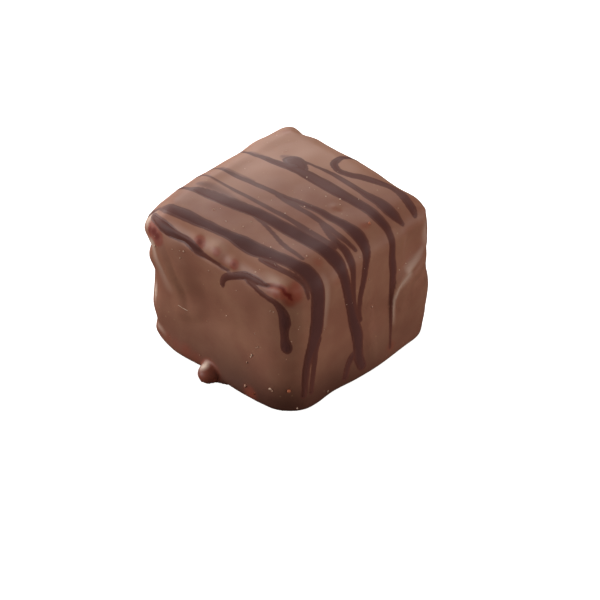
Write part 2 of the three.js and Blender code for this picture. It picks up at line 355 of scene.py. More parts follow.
def layRuns(piece):
    tree = treeOf(piece)
    finder = finderOf(piece)
    heights = [0] * len(piece.data.vertices)
    for stops in runs.values():
        for along, across, reach, height in evenRun(stops, runStep)[0]:
            middle = tree.find_nearest(onBlock(along, across) * mm)[0]
            for spot, index, gap in finder.find_range(middle, reach * mm):
                push = height * (1 - ease(0, 1, gap / mm / reach))
                if abs(push) > abs(heights[index]):
                    heights[index] = push
    tallest = max(abs(height) for height in heights)
    for name, way in (("ridges", 1), ("creases", -1)):
        group = weigh(piece, name, [max(0, way * height / tallest) for height in heights])
        modify(piece, "DISPLACE", direction="NORMAL", strength=way * tallest * mm, mid_level=0,
               vertex_group=group)


# unevenness of the coat: size of the waves and their height
waves = {
    "slow": (6.5, 0.45),
    "quick": (2.2, 0.07),
    "still": 0.4,  # none below this height
    "full": 3.0,  # all of it above this one
    "smoothing": 3,
    "underside": 0.12,  # what is lower than this lies flat on the ground
}


def roughen(piece):
    heights = [vertex.co.z / mm for vertex in piece.data.vertices]
    group = weigh(piece, "loose", [ease(waves["still"], waves["full"], height) for height in heights])
    for name in ("slow", "quick"):
        size, height = waves[name]
        texture = bpy.data.textures.new(name + "Waves", "CLOUDS")
        texture.noise_scale = size * mm
        texture.noise_depth = 0
        modify(piece, "DISPLACE", texture=texture, texture_coords="LOCAL", direction="NORMAL",
               strength=height * mm, mid_level=0.5, vertex_group=group)
    modify(piece, "SMOOTH", factor=0.5, iterations=waves["smoothing"])
    pick(piece)
    bpy.ops.object.mode_set(mode="EDIT")
    bpy.ops.mesh.select_all(action="DESELECT")
    shape = bmesh.from_edit_mesh(piece.data)
    for vertex in shape.verts:
        vertex.select_set(vertex.co.z < waves["underside"] * mm)
    bpy.ops.transform.resize(value=(1, 1, 0), center_override=(0, 0, 0))
    bpy.ops.object.mode_set(mode="OBJECT")


coat = makeBlock()
coat.name = "coat"
print("block rounded:", len(coat.data.polygons), "faces")
pushOut(coat, swells.values())
layRuns(coat)
roughen(coat)
shadeSmooth(coat)
coatTree = treeOf(coat)
print("coat shaped")


def onCoat(along, across):  # an unfolded place on the finished coat, and which way it faces
    spot, normal, face, gap = coatTree.find_nearest(onBlock(along, across) * mm)
    return spot, normal


# the drizzle

drizzle = {
    "step": 0.4,  # along a strand
    "paintStep": 0.12,
    "rows": 10,  # across it
    "height": 0.01,
    "rise": 0.08,  # more height for each millimetre of width
    "sink": 0.5,
    "bed": 0.02,  # how far its sides lie under the coat's surface
    "tip": 0.3,  # share of the width left at the tips
    "tipPace": 1.6,  # the larger, the sooner it is at its full width
    "rim": 0.15,  # a thin smear beyond each side
    "flat": 0.35,  # share of the height on the top, where it sank in
    "edge": (10, 14),  # from the top to the sides, along X or Y
    "smear": 0.02,  # thickness of the smears
    "voxel": 0.135,
    "smoothing": 3,
}

# strands as they lie with the sides unfolded round the top: along X, along Y, width
strands = {
    "lip": [
        (-12.6, -14.4, 0.6), (-11.7, -14.4, 0.9), (-9.9, -14.4, 1.1), (-8.6, -14.5, 1.4),
        (-7.6, -14.6, 1.4), (-6.7, -14.6, 1.2), (-5.6, -14.5, 1), (-4.6, -14.4, 1), (-3.5, -14.6, 1.3),
        (-2.7, -14.9, 1.2), (-1.8, -15.1, 0.8), (-0.8, -15.1, 0.6), (0.4, -15.1, 0.5),
        (1.5, -15.3, 0.4), (2.7, -15.2, 0.3),
    ],
    "hook": [
        (1.6, -18.1, 0.6), (1.8, -17, 0.7), (2.4, -16.2, 0.8), (3.7, -15.4, 0.8), (5.1, -14.6, 0.9),
        (6.1, -14.4, 0.9), (7.2, -14.3, 0.8), (8.2, -14.2, 0.5), (9, -14, 0.25),
    ],
    "drip": [
        (5.4, -15.1, 0.4), (6.7, -15.2, 0.5), (7.9, -15.5, 0.6), (9.1, -15.7, 0.6), (10.3, -15.9, 0.8),
        (11.1, -16.7, 1), (11.6, -17.6, 1.2), (11.8, -18.7, 1.3), (11.7, -19.7, 1), (11.8, -21, 0.9),
        (12, -21.9, 1.2), (12.3, -23, 1.4),
    ],
    "frontBand": [
        (-27, -10.4, 1), (-19, -11, 1.3), (-14.6, -11.9, 0.6), (-12.2, -12, 0.3), (-10.8, -11.6, 0.7),
        (-9.6, -11.3, 1.3), (-8.2, -11.1, 1.5), (-7, -10.9, 1.7), (-5.8, -10.8, 1.6),
        (-4.5, -10.7, 1.5), (-3.3, -10.5, 1.4), (-2, -10.4, 1.3), (0.2, -10.1, 1.4), (2, -9.9, 2),
        (4.1, -9.8, 2.1), (5.4, -9.5, 1.9), (6.9, -9.25, 1.75), (8.4, -9, 1.75), (9.7, -8.8, 1.8),
        (11.1, -8.4, 2), (12.6, -8.3, 2), (14.3, -8.2, 2), (18, -8.3, 2.1), (21, -8.6, 2.1),
        (22.6, -9.2, 1.7), (24.8, -10, 1.1), (27.1, -10.3, 0.9), (30.4, -10.4, 0.7),
    ],
    "frontBandEdge": [
        (5.5, -10.7, 0.5), (7.2, -10.6, 0.7), (8.8, -10.5, 0.6), (10.2, -10.3, 0.6), (11.6, -10, 0.7),
        (13.5, -9.7, 0.6), (14.6, -9.7, 0.5), (15.6, -9.7, 0.3),
    ],
    "frontBandLeg": [
        (22.2, -7.9, 0.6), (23.9, -8.8, 0.9), (26.2, -9, 0.8), (28.5, -9.2, 0.7), (30.4, -9.2, 0.7),
    ],
    "middleBand": [
        (-30, -7.2, 1), (-22, -6.8, 1.3), (-14, -6.8, 0.9), (-12, -6.9, 0.5), (-10.4, -6.8, 0.5),
        (-9.2, -6.4, 1), (-7.6, -6.1, 1.4), (-5.6, -5.9, 1.6), (-3.3, -5.6, 1.6), (-0.4, -5, 1.5),
        (2.8, -4.8, 1.6), (5.2, -4.6, 1.8), (10.3, -4.3, 1.9), (13.1, -4.1, 1.8), (14.8, -4, 1.4),
        (17.5, -3.4, 1.3), (20.5, -2.7, 1.3), (23.2, -2.1, 1.5), (25.8, -1.3, 1.8), (27.7, -1.2, 1.5),
        (29.3, -1.2, 1.4), (31.4, -0.5, 1.2),
    ],
    "middleBandLeg": [(28.1, -1.9, 0.8), (28.8, -2.6, 1), (29.8, -3.2, 0.9), (31.6, -3.5, 0.9)],
    "diagonal": [
        (-0.3, -5.6, 0.4), (1.2, -5.8, 0.4), (3.6, -6.4, 0.4), (6.2, -7.1, 0.5), (9.6, -7.4, 0.4),
    ],
    "middleThread": [
        (-21, -3, 0.6), (-14, -3.8, 0.5), (-12.4, -3.8, 0.5), (-11, -3.6, 0.25), (-8.4, -3.5, 0.25),
        (-5.3, -3.6, 0.4), (-0.2, -3.5, 0.5), (2.2, -3.3, 0.55), (6.6, -3.1, 0.6), (10.7, -3.1, 0.6),
    ],
    "farThread": [
        (-27, -0.4, 0.7), (-19, -1.7, 0.7), (-13, -1.6, 0.5), (-11.6, -1.6, 0.25), (-9, -1.4, 0.4),
        (-7, -1.3, 0.55), (-3.4, -1, 0.6), (-1.7, -0.8, 0.6), (0, -0.6, 0.7), (1.5, -0.2, 0.75),
        (3.2, 0.1, 0.8), (4.7, 0.4, 0.9), (6.5, 0.5, 1.1), (8.3, 0.7, 1.3), (10.4, 0.7, 1.7),
        (12.3, 0.6, 1.5), (14.1, 0.4, 1.2), (15.8, -0.1, 1), (17.8, -0.5, 0.9), (19.5, -0.9, 0.8),
        (21, -1.1, 0.7), (22.6, -1.1, 0.6), (24.1, -0.7, 0.5),
    ],
    "farThreadTwin": [
        (-1.2, -1, 0.4), (0.7, -1.1, 0.5), (2.1, -1, 0.6), (4, -0.9, 0.6), (5.9, -0.9, 0.6),
        (7.3, -1, 0.6), (9, -1.2, 0.6), (10.5, -1.2, 0.6), (13.1, -0.9, 0.4),
    ],
    "farThreadBranch": [
        (6.3, -1, 0.5), (8.5, -1.9, 0.6), (10.2, -2.3, 0.8), (12, -2.2, 1), (14, -2.3, 1),
        (15.8, -2.3, 0.8), (18.7, -2.2, 0.6), (21, -1.9, 0.5), (23, -1.5, 0.5),
    ],
    "backBand": [
        (-24.5, 4.4, 0.7), (-17.5, 3.6, 0.8), (-12.6, 3.4, 0.4), (-9.6, 3.4, 0.35), (-8.1, 3.7, 0.6),
        (-6.1, 3.8, 0.9), (-4.2, 4.1, 1.1), (-2.6, 4.4, 1.3), (-1.5, 4.5, 1.5), (0, 4.6, 1.6),
        (1.7, 4.7, 1.7), (3.5, 4.7, 1.6), (4.8, 4.8, 1.4), (6.2, 4.9, 1.3), (7.9, 5, 1.3),
        (9.6, 4.8, 1.3), (10.7, 4.7, 1.2), (12, 4.7, 1.1), (13.6, 4.6, 0.9), (17.2, 4.5, 1.1),
        (19.1, 4.6, 1.1), (21.2, 4.5, 0.8), (23, 4.4, 0.4), (27.7, 4.4, 0.35), (31, 4.3, 0.35),
    ],
    "backThread": [
        (-4.4, 5.9, 0.5), (-3.2, 6.3, 0.35), (-2.2, 6.5, 0.3), (0, 6.9, 0.45), (1.9, 7, 0.6),
        (5.2, 6.9, 0.7), (6.7, 6.9, 1), (8.3, 7, 1.3), (10, 6.8, 1.5), (11.4, 6.8, 1.2),
        (12.7, 6.9, 0.8), (13.7, 7, 0.5),
    ],
    "backPool": [
        (-5.6, 5, 0.9), (-5.1, 5.3, 1.6), (-4.5, 5.6, 1.8), (-3.8, 5.6, 1.4), (-3, 5.3, 1.1),
        (-2.2, 4.9, 1),
    ],
    "backHook": [
        (0.6, 20, 0.8), (0, 15, 0.9), (-0.4, 12.8, 0.7), (-0.7, 11.2, 0.6), (-1, 10.2, 0.7),
        (-1, 9.4, 0.8), (-0.7, 8.5, 0.8), (0.6, 8, 0.7), (2.3, 8.4, 0.8), (3.2, 8.9, 0.9),
        (4.6, 9.5, 1), (6, 10.1, 1.1), (7.3, 10.6, 1.2), (8.5, 10.5, 1.2), (10, 10, 1.1),
        (11.6, 9.7, 1.1), (13.6, 9.3, 0.6),
    ],
}
# thin smears beside the strands, laid out alike
smears = {
    "front": [(-12, -11.8, 1), (-10, -11.4, 1.6), (-8, -11, 1.8)],
    "middle": [(-10.4, -5.4, 1), (-8.5, -4.9, 2), (-6.4, -4.9, 2), (-4.4, -5, 1.4), (-2.4, -4.9, 0.8)],
    "far": [(-10.6, -1.2, 0.5), (-8, -0.9, 0.6), (-5, -0.8, 0.5)],
    "back": [(-10.5, 3.6, 0.6), (-8, 3.8, 1), (-6.4, 3.9, 0.8)],
    "pool": [(-6.6, 5.4, 1.2), (-5.2, 5.5, 2.4), (-3.8, 5.4, 2.2), (-2.4, 5.2, 1.2)],
}


def sections(stops, step):  # along a strand: place, heading, half width, height
    run, length = evenRun(stops, step)
    steps = len(run) - 1
    made = []
    for i, (along, across, width) in enumerate(run):
        heading = (run[min(i + 1, steps)].xy - run[max(i - 1, 0)].xy).normalized()
        fromTip = min(i, steps - i) / steps * length
        tip = min(1, fromTip / width * drizzle["tipPace"])
        taper = max(drizzle["tip"], math.sqrt(tip * (2 - tip)))
        height = (drizzle["height"] + drizzle["rise"] * width) * taper
        made.append((along, across, heading, (width / 2 + drizzle["rim"]) * taper, height))
    return made


def crest(share):  # height of a strand across its half width
    return max(0, 1 - share * share)


def makeStrand(name, stops):
    made = sections(stops, drizzle["step"])
    steps = len(made) - 1
    startFresh()
    bpy.ops.mesh.primitive_grid_add(x_subdivisions=steps, y_subdivisions=drizzle["rows"], size=1)
    piece = bpy.context.object
    piece.name = name
    highest = max(height for along, across, heading, half, height in made)
    weights = []
    for vertex in piece.data.vertices:
        along, across, heading, half, height = made[round((vertex.co.x + 0.5) * steps)]
        side = vertex.co.y * 2
        vertex.co = onBlock(along - heading.y * half * side, across + heading.x * half * side) * mm
        over = ease(*drizzle["edge"], max(abs(along), abs(across)))  # 0 on the top, 1 on the sides
        weights.append(height / highest * crest(side) * (drizzle["flat"] + (1 - drizzle["flat"]) * over))
    modify(piece, "SHRINKWRAP", target=coat, wrap_method="NEAREST_SURFACEPOINT", wrap_mode="ABOVE_SURFACE",
           offset=-drizzle["bed"] * mm)
    group = weigh(piece, "crest", weights)
    modify(piece, "DISPLACE", direction="NORMAL", strength=highest * mm, mid_level=0, vertex_group=group)
    modify(piece, "SOLIDIFY", thickness=drizzle["sink"] * mm, offset=-1)
    return piece


def makeDrizzle():
    made = [makeStrand(name, stops) for name, stops in strands.items()]
    join(made)
    piece = made[0]
    piece.name = "drizzle"
    piece.vertex_groups.clear()
    melt(piece, drizzle["voxel"], drizzle["smoothing"])
    shadeSmooth(piece)
    return piece


def paintThickness(piece):  # how much dark chocolate lies there, in millimetres
    finder = finderOf(piece)
    lifts = [0] * len(piece.data.vertices)
    for name, stops in [*strands.items(), *smears.items()]:
        for along, across, heading, half, height in sections(stops, drizzle["paintStep"]):
            thickness = drizzle["smear"] if name in smears else height
            for spot, index, gap in finder.find_range(onCoat(along, across)[0], half * mm):
                lifts[index] = max(lifts[index], thickness * crest(gap / mm / half))
    paint(piece, "lift", lifts)


drizzlePiece = makeDrizzle()
paintThickness(drizzlePiece)
paintThickness(coat)
print("drizzle laid:", len(drizzlePiece.data.polygons), "faces")

# where the coat is thin enough to look red, laid out like the strands:
# along X, along Y, reach, strength up to 2;
# above 1 it turns into a painted shade in deep red, in creases and under knobs
thinSpots = {
    "leftKnob": [
        (-10.6, -16.2, 1.3, 1.8), (-9.8, -16, 1.4, 1.9), (-9.2, -16.3, 1.4, 1.8),
        (-8.9, -16.7, 1.2, 1.4), (-10.3, -15.3, 1.7, 1), (-11.8, -15.4, 1.2, 0.4),
    ],
    "lip": [
        (-2.6, -13.6, 1.3, 1.6), (0.3, -13.5, 1.1, 0.9), (3.2, -13.9, 1, 1.5), (1.6, -14.3, 1.4, 0.4),
    ],
    "rightKnob": [
        (9.3, -14.7, 1.2, 0.5), (10.4, -14.5, 1.3, 0.8), (11.6, -14.4, 1.3, 0.9),
        (13.4, -13.9, 1.4, 0.9), (15, -12.9, 1.5, 0.9), (14.4, -11.6, 1.6, 0.9),
        (13.2, -12.4, 1.5, 0.8), (12.8, -11.5, 1.4, 0.8), (14, -11.1, 1.3, 0.7),
    ],
    "rightEdge": [(13.6, -11, 1.4, 0.6), (11, -6.2, 1.3, 0.5), (15.5, -5.1, 1.3, 0.3)],
    "backKnob": [(13.1, 11.3, 1.4, 0.25), (14.1, 12.2, 1.6, 0.3), (10.4, 11.4, 1.4, 0.4)],
    "farCorner": [(-10.1, 9.7, 1.4, 0.4)],
    "pimples": [
        (5.5, 2.1, 0.8, 0.4), (6.2, 2.3, 0.6, 0.5), (10.1, 2.5, 1.2, 0.5), (10.2, 3.1, 0.5, 0.6),
    ],
    "base": [
        (-11, -30.4, 1.8, 0.4), (-9.6, -31, 1.9, 0.45), (-8, -31.4, 1.9, 0.45), (-6.4, -31.6, 1.9, 0.5),
        (-4.8, -31.6, 2, 0.6), (-3.2, -31.8, 1.8, 0.5), (6.2, -31.9, 1.8, 0.8), (30.8, 4.5, 1.4, 0.5),
    ],
}
thinCore = 0.1  # share of the reach at full strength
thinFoot = {
    "reach": 2.4,
    "strength": 0.6,
    "core": 0.6,
}

# the red line that goes on from the hook, with painted shade in the crease under the knob:
# along X, along Y, reach, strength
knobLine = [
    (8.7, -14.1, 0.5, 1.5), (9.8, -13.5, 0.5, 1.7), (11.3, -13.3, 0.6, 1.8), (12.1, -13.9, 0.7, 1.9),
    (13.4, -13.7, 0.7, 1.9), (14.7, -12.5, 0.6, 1.7),
]

# painted highlights and sheen on crests and edges, laid out like the runs: along X, along Y, reach,
# strength
paintedHighlights = {
    "curtain": [
        (18.7, 10.1, 0.5, 0.08), (19.8, 8.6, 0.6, 0.22), (20.5, 7.2, 0.8, 0.27), (21.1, 6.2, 0.8, 0.27),
        (21.7, 5.5, 0.65, 0.27), (22.4, 5, 0.55, 0.27), (23.7, 4.75, 0.5, 0.27),
        (25.4, 4.75, 0.45, 0.22), (27.4, 4.8, 0.4, 0.08),
    ],
    "fold": [
        (-9.9, -17.4, 1, 0.5), (-9.8, -19.2, 1.3, 0.26), (-9, -21.2, 1.4, 0.16),
        (-7.8, -23.2, 1.4, 0.08),
    ],
    "leftKnob": [
        (-13.2, -13.8, 1.1, 0.25), (-12.8, -15.2, 1.1, 0.45), (-12.7, -16.1, 0.9, 0.4),
        (-12.1, -16.5, 0.7, 0.1),
    ],
    "leftEdge": [(-11, -24.4, 0.7, 0.1), (-11.1, -25.8, 0.8, 0.42), (-11, -27.2, 0.7, 0.1)],
    "toe": [(-10.6, -30.4, 0.8, 0.08), (-9.7, -30.7, 0.9, 0.28), (-8.8, -31, 0.8, 0.08)],
    "rightEdge": [(15.4, 11.2, 0.9, 0.06), (17.1, 11, 1, 0.18), (18.8, 10.8, 0.9, 0.08)],
    "bandEdge": [
        (13.6, -6.8, 0.7, 0.04), (15.6, -6.8, 0.7, 0.13), (18, -6.9, 0.7, 0.13), (21, -7.2, 0.6, 0.06),
    ],
    "lip": [(-2.2, -12.4, 1, 0.04), (-0.7, -12.5, 1.1, 0.15), (0.9, -12.6, 1, 0.06)],
    "knob": [(7.8, -12.5, 0.9, 0.06), (9.2, -12.6, 1, 0.22), (10.6, -12.3, 0.9, 0.06)],
}
# a painted highlight on top of the foot lump
paintedFootHighlight = {
    "middle": (-1.1, -13.8, 1.95),
    "reach": 1,
    "strength": 1,
}


def dab(values, finder, middle, reach, strength, core=0):  # strongest at the core, nothing at the reach
    for spot, index, gap in finder.find_range(middle, reach * mm):
        values[index] = max(values[index], strength * (1 - ease(core, 1, gap / mm / reach)))


def paintThin(piece):
    finder = finderOf(piece)
    thins = [0] * len(piece.data.vertices)
    for along, across, reach, strength in sum(thinSpots.values(), evenRun(knobLine, runStep)[0]):
        dab(thins, finder, onCoat(along, across)[0], reach, strength, thinCore)
    dab(thins, finder, Vector(lumps["foot"][0]) * mm, **thinFoot)
    paint(piece, "thin", thins)


# painted highlights, kept as the "pale" numbers of the vertices
def paintHighlights(piece):
    finder = finderOf(piece)
    highlights = [0] * len(piece.data.vertices)
    for stops in paintedHighlights.values():
        for along, across, reach, strength in evenRun(stops, runStep)[0]:
            dab(highlights, finder, onCoat(along, across)[0], reach, strength)
    dab(highlights, finder, Vector(paintedFootHighlight["middle"]) * mm, paintedFootHighlight["reach"], paintedFootHighlight["strength"])
    paint(piece, "pale", highlights)


paintHighlights(coat)
paintThin(coat)
paintThin(drizzlePiece)
print("coat painted")


# crumbs and a few fibres in the coat

crumbs = {
    "seed": 11,
    "count": 90,
    "smallest": 0.03,
    "largest": 0.08,
    "lift": 0.2,  # share of its radius by which a crumb's middle stands above the coat
    "stretch": (0.6, 1.3),  # so that no two are alike
    "bare": 1,  # none this near the ground
    "fibreSides": 10,
    "fibreRings": 12,
}

# the larger crumbs, laid out like the strands: along X, along Y, radius, how toasted
largeCrumbs = [
    (6.3, -26, 0.14, 0), (6.1, -26.4, 0.1, 0), (5.5, -27.6, 0.12, 0.2), (9.6, -29.2, 0.18, 0.1),
    (9.9, -29.4, 0.14, 0.4), (12.6, -28.9, 0.24, 1), (5.4, -31.2, 0.14, 0.4), (6.8, -31.6, 0.15, 1),
    (7.4, -24.1, 0.08, 0), (7.1, -24.4, 0.07, 0), (1.8, -22.7, 0.1, 0.3), (-1.5, -25.3, 0.07, 0.2),
    (4.1, -17.3, 0.08, 0.2), (10, -17.4, 0.07, 0), (9.5, -17.5, 0.07, 0), (-5.4, -16.4, 0.07, 0),
    (-6.5, -16.7, 0.07, 0), (-4.8, -16.2, 0.1, 0), (-5.3, -17.4, 0.07, 0), (-0.6, -16.9, 0.07, 0),
    (-9.2, -17.5, 0.12, 0), (-2.5, -31, 0.1, 0.6), (-4.8, -7.9, 0.11, 0.3), (-2.1, -8.6, 0.08, 0),
    (0.2, -6.6, 0.09, 0), (0.1, -7.9, 0.09, 0.2), (5.2, -8.4, 0.07, 0), (6.4, -13.1, 0.09, 0),
    (3.2, 3, 0.06, 0), (4.7, 3.9, 0.1, 0), (5.4, 3.1, 0.07, 0), (10.2, 3.2, 0.15, 0.9),
    (9.4, -6.7, 0.1, 0.1), (22.7, 1, 0.14, 0.4), (19.5, 7, 0.09, 0), (19.7, 5.7, 0.07, 0),
    (21.2, -12.6, 0.08, 0.3), (21.4, -7.3, 0.07, 0), (31.7, -6.3, 0.13, 0), (32.1, -11.4, 0.11, 0),
    (-10.4, 8.4, 0.07, 0.2), (-7, 6.6, 0.06, 0), (-8, 0.5, 0.08, 0), (-0.8, -2.2, 0.07, 0),
]
# fibres: both ends, thickness
fibres = [
    ((-6, -25.1), (-4.5, -25.3), 0.07),
    ((-11.6, -25.8), (-10.4, -26.4), 0.08),
]


def makeCrumb(along, across, size, draw):
    spot, normal = onCoat(along, across)
    startFresh()
    bpy.ops.mesh.primitive_ico_sphere_add(subdivisions=2, radius=size * mm,
                                          location=spot + normal * size * crumbs["lift"] * mm)
    piece = bpy.context.object
    piece.scale = [draw.uniform(*crumbs["stretch"]) for axis in range(3)]
    piece.rotation_euler = [draw.uniform(0, math.tau) for axis in range(3)]
    bpy.ops.object.transform_apply(location=True, rotation=True, scale=True)
    return piece


def makeFibre(start, end, thickness):
    first, second = onCoat(*start)[0], onCoat(*end)[0]
    startFresh()
    bpy.ops.mesh.primitive_uv_sphere_add(segments=crumbs["fibreSides"], ring_count=crumbs["fibreRings"],
                                         radius=1, location=(first + second) / 2)
    piece = bpy.context.object
    piece.scale = (thickness * mm, thickness * mm, (second - first).length / 2)
    piece.rotation_euler = (second - first).to_track_quat("Z", "Y").to_euler()
    bpy.ops.object.transform_apply(location=True, rotation=True, scale=True)
    return piece


def makeCrumbs():
    draw = random.Random(crumbs["seed"])
    made = []
    toasts = []
    for along, across, size, toast in largeCrumbs:
        made.append(makeCrumb(along, across, size, draw))
        toasts.append(toast)
    for i in range(crumbs["count"]):
        along = draw.uniform(-1, 1) * (block["length"] / 2 + block["height"] - crumbs["bare"])
        across = draw.uniform(-1, 1) * block["width"] / 2
        if draw.random() < 0.5:
            along, across = across * block["length"] / block["width"], along
        size = crumbs["smallest"] + (crumbs["largest"] - crumbs["smallest"]) * draw.random() ** 2
        made.append(makeCrumb(along, across, size, draw))
        toasts.append(draw.random() ** 3)
    for start, end, thickness in fibres:
        made.append(makeFibre(start, end, thickness))
        toasts.append(0)
    for crumb, toast in zip(made, toasts):
        paint(crumb, "toast", [toast] * len(crumb.data.vertices))
    join(made)
    piece = made[0]
    piece.name = "crumbs"
    shadeSmooth(piece)
    return piece


crumbPiece = makeCrumbs()
print("crumbs set:", crumbs["count"] + len(largeCrumbs))


# materials

def tint(red, green, blue):  # a colour as seen, for the shader
    def linear(part):
        return ((part + 0.055) / 1.055) ** 2.4 if part > 0.04045 else part / 12.92
    return (*[linear(part / 255) for part in (red, green, blue)], 1)


class Value:  # a shader socket that does sums
    def __init__(self, recipe, socket):
        self.recipe = recipe
        self.socket = socket

    def __add__(self, other):
        return self.recipe.sum("ADD", self, other)

    def __radd__(self, other):
        return self.recipe.sum("ADD", other, self)

    def __sub__(self, other):
        return self.recipe.sum("SUBTRACT", self, other)

    def __rsub__(self, other):
        return self.recipe.sum("SUBTRACT", other, self)

    def __mul__(self, other):
        return self.recipe.sum("MULTIPLY", self, other)

    def __rmul__(self, other):
        return self.recipe.sum("MULTIPLY", other, self)


class Recipe:  # the nodes of a material, or of the sky
    def __init__(self, owner):
        self.owner = owner
        self.owner.use_nodes = True
        self.tree = self.owner.node_tree
        self.tree.nodes.clear()

    def node(self, kind, settings, sockets, output=0):
        made = self.tree.nodes.new("ShaderNode" + kind)
        for name, value in settings.items():
            setattr(made, name, value)
        for name, value in sockets.items():
            if isinstance(value, Value):
                self.tree.links.new(value.socket, made.inputs[name])
            else:
                made.inputs[name].default_value = value
        return Value(self, made.outputs[output]) if made.outputs else None

    def sum(self, operation, first, second):
        return self.node("Math", {"operation": operation}, {0: first, 1: second})

    def place(self, axis=None):
        spot = self.node("TexCoord", {}, {}, "Object")
        return self.node("SeparateXYZ", {}, {0: spot}, axis) if axis else spot

    def attribute(self, name):
        return self.node("Attribute", {"attribute_name": name}, {}, "Fac")

    def noise(self, size, detail=2):
        sockets = {"Vector": self.place(), "Scale": 1 / (size * mm), "Detail": detail}
        return self.node("TexNoise", {}, sockets, "Fac")

    def ease(self, value, low, high):
        return self.node("MapRange", {"interpolation_type": "SMOOTHSTEP"},
                         {"Value": value, "From Min": low, "From Max": high})

    def blend(self, share, first, second):
        return self.node("Mix", {"data_type": "RGBA"}, {0: share, 6: first, 7: second}, 2)

    def bump(self, height, depth):
        return self.node("Bump", {}, {"Height": height, "Distance": depth * mm, "Strength": 1})

    def finish(self, sockets):
        shader = self.node("BsdfPrincipled", {}, sockets)
        self.node("OutputMaterial", {}, {"Surface": shader})
        return self.owner


def newRecipe(name):
    return Recipe(bpy.data.materials.new(name))


milk = {
    "pale": tint(151, 104, 82),
    "deep": tint(140, 91, 72),
    "cloud": 5,  # size of the patches of the two
    "cloudSpan": (0.3, 0.7),
    "footShade": (0.4, 8.5),  # painted shade, darker from this height up to this one
    "footShadeDepths": (0.25, 0.82),  # how much, at the left and at the right
    "footShadeSides": (3, 20),  # where the left ends and the right begins
    "red": tint(138, 66, 48),
    # the deep red of the painted shade, in creases and under knobs
    "shadeRed": tint(104, 32, 21),
    # the colour of the painted shade near the ground
    "foot": tint(64, 31, 26),
    # the colour of the painted highlights on crests and the foot
    "crest": tint(250, 224, 203),
    # painted light and sheen: the top paler toward the back left
    "far": tint(178, 130, 106),
    "farLightSpan": (-4, 15),  # along Y less along X, on the top
    "farLightShare": 0.85,
    "redShare": 0.9,
    "speck": tint(190, 152, 118),
    "speckGap": 1.1,
    "speckSize": (0.05, 0.14),  # share of the gap, from full to none
    "speckPatch": 2.5,  # size of the places that have specks
    "speckSpan": (0.5, 0.62),
    "speckShare": 0.3,
    "specular": 0.28,
}

dark = {
    "deep": tint(80, 48, 44),
    "soft": tint(96, 59, 54),
    # the strands lighter toward the back left of the top: partly thinner strands, partly painted sheen
    "far": tint(117, 81, 74),
    "farLightSpan": (-8, 6),
    "farLightShare": 0.8,
    "edge": tint(102, 59, 49),
    "rim": (0.004, 0.03),  # thickness over which it turns from coat to a thin smear
    "body": (0.03, 0.12),  # and from there to its full colour
    "cloud": 4,
    "specular": 0.12,
}

# the surface of both
skin = {
    "top": (16, 20),  # heights between which the sides turn into the top
    "rough": 0.45,
    "patches": 0.08,  # more roughness, in patches
    "patch": 3,
    "dull": 0.25,  # more roughness in the deepest red
    "grain": 0.8,
    "grainDepth": 0.008,
}


def spread(recipe, value, span):  # 0 to 1 over a span of millimetres
    return recipe.ease(value, *[end * mm for end in span])


def farTopLight(recipe, look):  # painted light and sheen: how far back and left on the top
    across = spread(recipe, recipe.place("Y") - recipe.place("X"), look["farLightSpan"])
    return across * spread(recipe, recipe.place("Z"), skin["top"]) * look["farLightShare"]


# share of the painted shade in deep red, where the thin numbers go past 1
def deepRedShade(recipe):
    return recipe.ease(recipe.attribute("thin"), 1, 2)


def milkColour(recipe):
    clouds = recipe.ease(recipe.noise(milk["cloud"], 3), *milk["cloudSpan"])
    colour = recipe.blend(clouds, milk["deep"], milk["pale"])
    colour = recipe.blend(farTopLight(recipe, milk), colour, milk["far"])
    # painted shade near the ground, deeper toward the front right
    side = spread(recipe, recipe.place("X") - recipe.place("Y"), milk["footShadeSides"])
    low = 1 - spread(recipe, recipe.place("Z"), milk["footShade"])
    left, right = milk["footShadeDepths"]
    colour = recipe.blend(low * (left + side * (right - left)), colour, milk["foot"])
    thin = recipe.ease(recipe.attribute("thin"), 0, 1)
    colour = recipe.blend(thin * milk["redShare"], colour, milk["red"])
    colour = recipe.blend(deepRedShade(recipe), colour, milk["shadeRed"])
    # painted highlights over all of it
    return recipe.blend(recipe.attribute("pale"), colour, milk["crest"])


def darkOver(recipe, colour):  # dark chocolate over a colour, as thick as it lies there
    lift = recipe.attribute("lift")
    full = recipe.blend(recipe.noise(dark["cloud"]), dark["deep"], dark["soft"])
    full = recipe.blend(farTopLight(recipe, dark), full, dark["far"])
    full = recipe.blend(recipe.ease(lift, *dark["body"]), dark["edge"], full)
    return recipe.blend(recipe.ease(lift, *dark["rim"]), colour, full)


def chocolate(recipe, colour, specular):
    rough = skin["rough"] + skin["patches"] * recipe.noise(skin["patch"]) + skin["dull"] * deepRedShade(recipe)
    grain = recipe.bump(recipe.noise(skin["grain"], 3), skin["grainDepth"])
    return recipe.finish({"Base Color": darkOver(recipe, colour), "Roughness": rough, "Normal": grain,
                          "Specular IOR Level": specular})


def milkChocolate():
    recipe = newRecipe("milkChocolate")
    colour = milkColour(recipe)
    specks = recipe.node("TexVoronoi", {"feature": "F1"},
                         {"Vector": recipe.place(), "Scale": 1 / (milk["speckGap"] * mm), "Randomness": 1},
                         "Distance")
    here = recipe.ease(recipe.noise(milk["speckPatch"], 0), *milk["speckSpan"])  # in some places only
    speckle = (1 - recipe.ease(specks, *milk["speckSize"])) * here
    colour = recipe.blend(speckle * milk["speckShare"], colour, milk["speck"])
    return chocolate(recipe, colour, milk["specular"])


def darkChocolate():
    recipe = newRecipe("darkChocolate")
    return chocolate(recipe, milkColour(recipe), dark["specular"])


crumbLook = {
    "pale": tint(212, 178, 154),
    "toasted": tint(176, 96, 62),
    "rough": 0.5,
    "patches": 0.15,
    "patch": 0.1,
}


